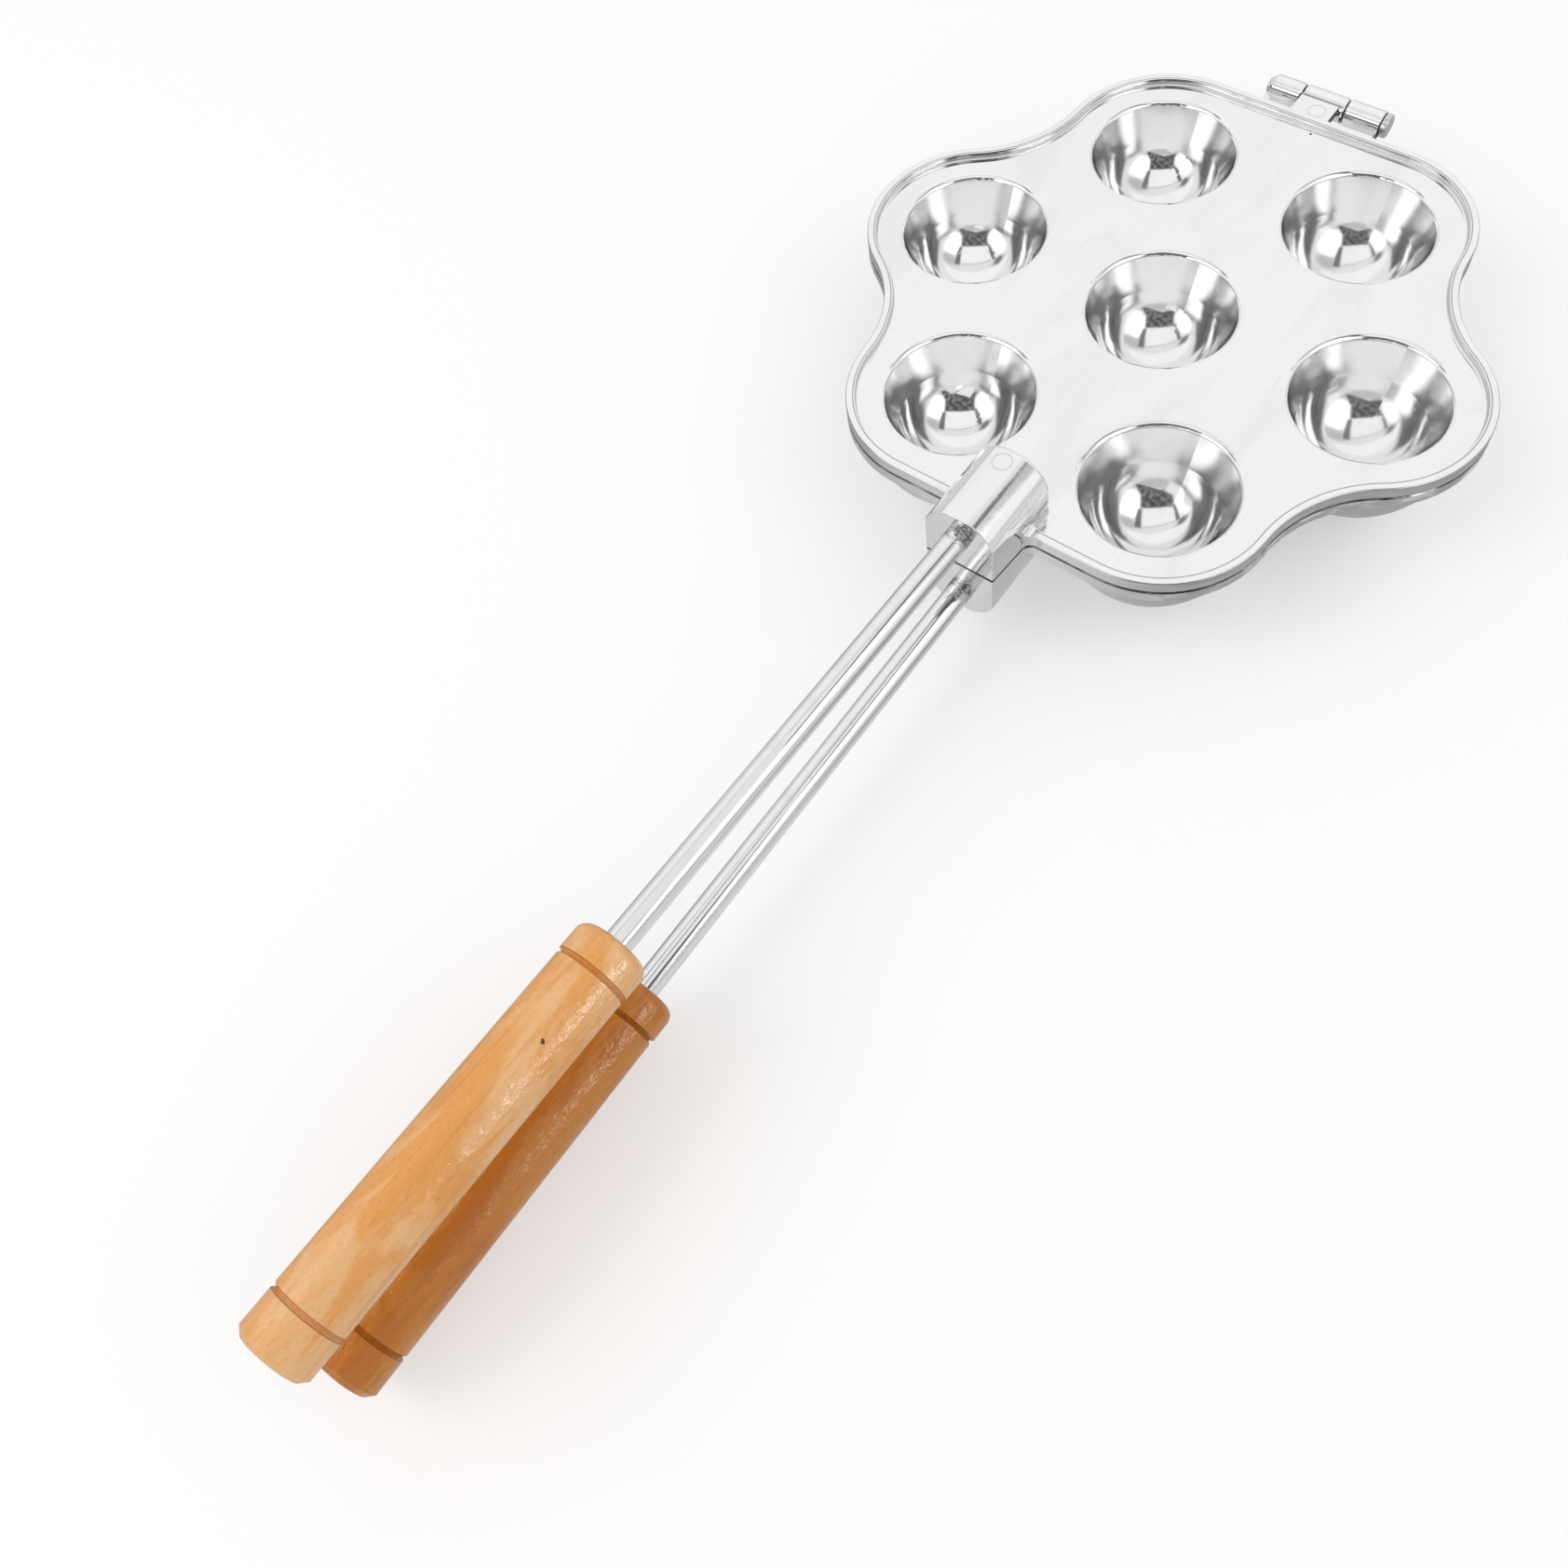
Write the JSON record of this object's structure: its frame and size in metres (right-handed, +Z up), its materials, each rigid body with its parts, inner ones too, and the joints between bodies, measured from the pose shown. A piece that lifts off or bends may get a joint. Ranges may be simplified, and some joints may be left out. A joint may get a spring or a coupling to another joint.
{
  "type": "egg tart mould",
  "caption": "Hinged hand-held egg tart mould: a flower-shaped plate of hollow domes closes into a plate of round cups, each with a chromed rod and a turned wooden handle.",
  "frame": {"origin": "middle of the flat foot of the centre cup, on the surface that the closed mould stands on", "axes": "+Z up, +X from the handles towards the hinge, +Y along the hinge's axis"},
  "size_m": [0.5114, 0.2168, 0.0714],
  "materials": {
    "upper_casting": "polished, with fine wiping scratches",
    "lower_casting": "polished",
    "pin_steel": "bright turned steel",
    "rod_chrome": "bright chrome",
    "upper_wood": "clear semi-gloss lacquer",
    "lower_wood": "clear semi-gloss lacquer"
  },
  "bodies": {
    "lower_half": {"lower_plate": "lower_casting", "hinge_pin": "pin_steel", "lower_rod": "rod_chrome", "lower_handle": "lower_wood"},
    "upper_half": {"upper_plate": "upper_casting", "upper_rod": "rod_chrome", "upper_handle": "upper_wood"}
  },
  "joints": [
    {"name": "mould_hinge", "type": "hinge", "parent": "lower_half", "child": "upper_half", "pos_m": [0.11095, 0, 0.03679], "axis": [0, 1, 0], "range_deg": [0, 180]}
  ]
}
